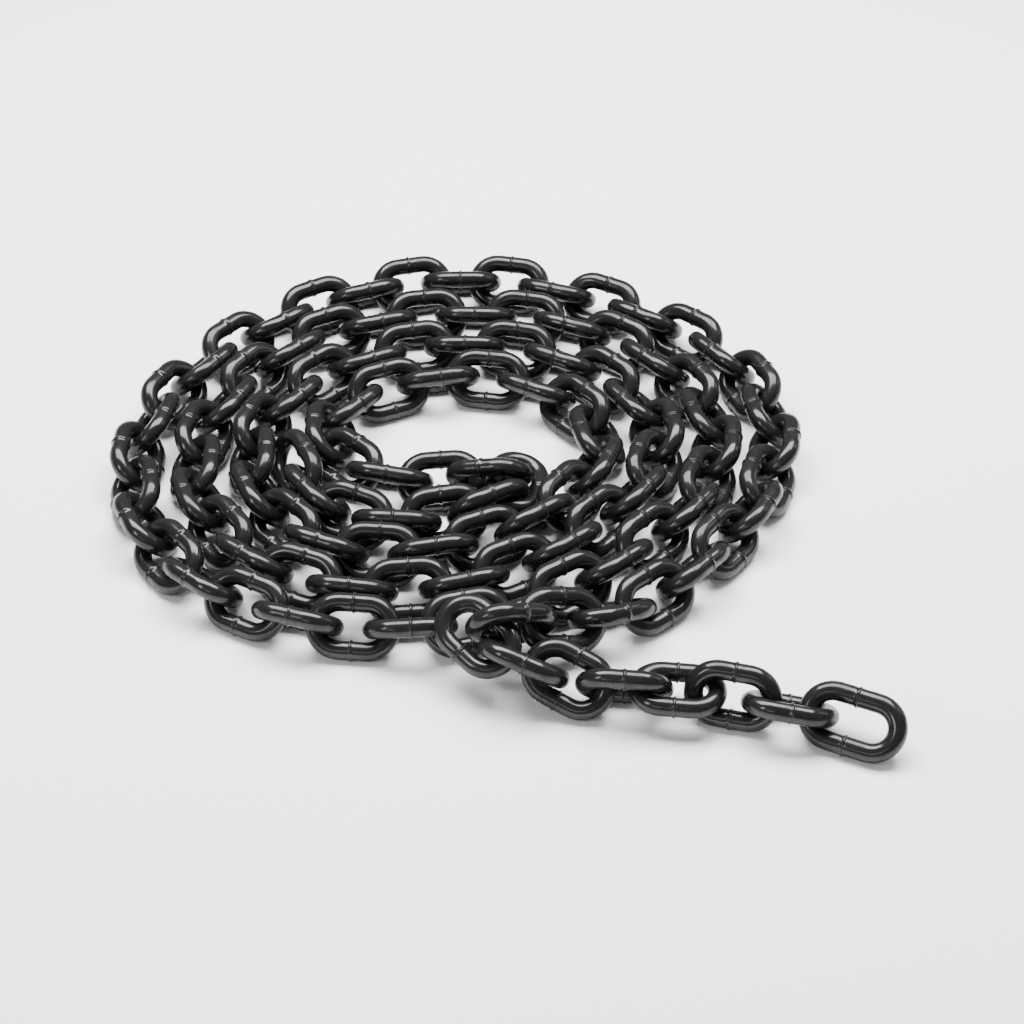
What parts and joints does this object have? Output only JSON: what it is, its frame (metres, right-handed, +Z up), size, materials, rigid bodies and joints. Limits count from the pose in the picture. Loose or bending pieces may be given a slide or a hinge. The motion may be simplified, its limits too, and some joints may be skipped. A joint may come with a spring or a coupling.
{
  "type": "lifting chain coil",
  "caption": "Length of round-bar short-link lifting chain, laid down in a loose flat coil with a short straight tail and a doubled-back inner end.",
  "frame": {"origin": "centre of the coil's bounding box on the floor that it lies on", "axes": "+Z up from the floor, +X to the right where the tail runs out, +Y away from the viewer towards the back of the coil"},
  "size_m": [0.4212, 0.4154, 0.051],
  "materials": {
    "chain_steel": "dark heat-treated steel with a thin oil film: satin grey-black bar, brighter rubbed crowns and weld collars"
  },
  "bodies": {
    "root": {"coil_links_01": "chain_steel", "coil_links_02": "chain_steel", "coil_links_03": "chain_steel", "coil_links_04": "chain_steel", "coil_links_05": "chain_steel", "coil_links_06": "chain_steel", "coil_links_07": "chain_steel", "coil_links_08": "chain_steel", "coil_links_09": "chain_steel", "coil_links_10": "chain_steel", "coil_links_11": "chain_steel", "coil_links_12": "chain_steel", "coil_links_13": "chain_steel", "coil_links_14": "chain_steel", "coil_links_15": "chain_steel", "coil_links_16": "chain_steel", "coil_links_17": "chain_steel", "coil_links_18": "chain_steel", "coil_links_19": "chain_steel", "coil_links_20": "chain_steel", "coil_links_21": "chain_steel", "coil_links_22": "chain_steel", "coil_links_23": "chain_steel", "coil_links_24": "chain_steel", "coil_links_25": "chain_steel", "coil_links_26": "chain_steel", "coil_links_27": "chain_steel", "coil_links_28": "chain_steel", "coil_links_29": "chain_steel", "coil_links_30": "chain_steel", "coil_links_31": "chain_steel", "coil_links_32": "chain_steel", "coil_links_33": "chain_steel", "coil_links_34": "chain_steel", "coil_links_35": "chain_steel", "coil_links_36": "chain_steel", "coil_links_37": "chain_steel", "inner_end_link": "chain_steel", "tail_end_link": "chain_steel", "tail_link_2": "chain_steel", "tail_link_3": "chain_steel", "tail_link_4": "chain_steel", "tail_link_5": "chain_steel", "tail_link_6": "chain_steel", "tail_link_7": "chain_steel", "tail_link_8": "chain_steel"}
  },
  "joints": []
}
